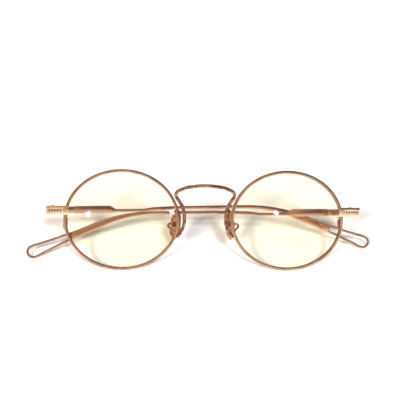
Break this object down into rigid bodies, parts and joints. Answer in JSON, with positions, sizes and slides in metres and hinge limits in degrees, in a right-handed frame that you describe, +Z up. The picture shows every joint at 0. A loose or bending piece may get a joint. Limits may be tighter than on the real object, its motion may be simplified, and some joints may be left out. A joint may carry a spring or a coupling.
{
  "type": "folded metal eyeglasses",
  "caption": "Rose-gold wire eyeglasses with oval rims, a wire bridge, metal nose pads and folded temples that end in open wire loops.",
  "frame": {"origin": "centre of the overall box's base, on the surface that the folded glasses stand on", "axes": "+X across the front, towards the right as seen from in front of the lenses; -Y the way the lenses face; +Z up from the surface"},
  "size_m": [0.1502, 0.0312, 0.0398],
  "materials": {
    "frame_gold": "polished rose-gold plate",
    "pad_gold": "satin gold plate",
    "screw_steel": "bright",
    "clear_lens": "coated clear lens"
  },
  "bodies": {
    "front": {"bridge": "frame_gold", "end_piece_left": "frame_gold", "end_piece_right": "frame_gold", "end_rivet_left": "frame_gold", "end_rivet_right": "frame_gold", "front_hinge_left": "frame_gold", "front_hinge_right": "frame_gold", "hinge_screw_left": "screw_steel", "hinge_screw_right": "screw_steel", "lens_left": "clear_lens", "lens_right": "clear_lens", "lock_lower_left": "frame_gold", "lock_lower_right": "frame_gold", "lock_screw_left": "screw_steel", "lock_screw_right": "screw_steel", "lock_upper_left": "frame_gold", "lock_upper_right": "frame_gold", "pad_arm_left": "frame_gold", "pad_arm_right": "frame_gold", "pad_holder_left": "frame_gold", "pad_holder_right": "frame_gold", "rim_left": "frame_gold", "rim_right": "frame_gold"},
    "temple_left": {"temple_bar_left": "frame_gold", "temple_hinge_leaf_left": "frame_gold", "temple_loop_left": "frame_gold"},
    "temple_right": {"temple_bar_right": "frame_gold", "temple_hinge_leaf_right": "frame_gold", "temple_loop_right": "frame_gold"},
    "nose_pad_left": {"nose_pad_left": "pad_gold"},
    "nose_pad_right": {"nose_pad_right": "pad_gold"}
  },
  "joints": [
    {"name": "temple_left_fold", "type": "hinge", "parent": "front", "child": "temple_left", "pos_m": [-0.0641, 0.00496, 0.01918], "axis": [-0.0284, 0.4639, 0.8854], "range_deg": [0, 86.5]},
    {"name": "temple_right_fold", "type": "hinge", "parent": "front", "child": "temple_right", "pos_m": [0.064, 0.00496, 0.01918], "axis": [0.0107, -0.4992, -0.8664], "range_deg": [0, 90.56]},
    {"name": "nose_pad_left_rock", "type": "hinge", "parent": "front", "child": "nose_pad_left", "pos_m": [-0.01175, 0.00188, 0.01417], "axis": [-0.5685, 0.803, -0.1786], "range_deg": [-8, 8]},
    {"name": "nose_pad_right_rock", "type": "hinge", "parent": "front", "child": "nose_pad_right", "pos_m": [0.01165, 0.00188, 0.01417], "axis": [-0.5685, -0.803, 0.1786], "range_deg": [-8, 8]}
  ],
  "couplings": [
    {"joint": "temple_right_fold", "follows": "temple_left_fold", "ratio": 1.0469}
  ]
}
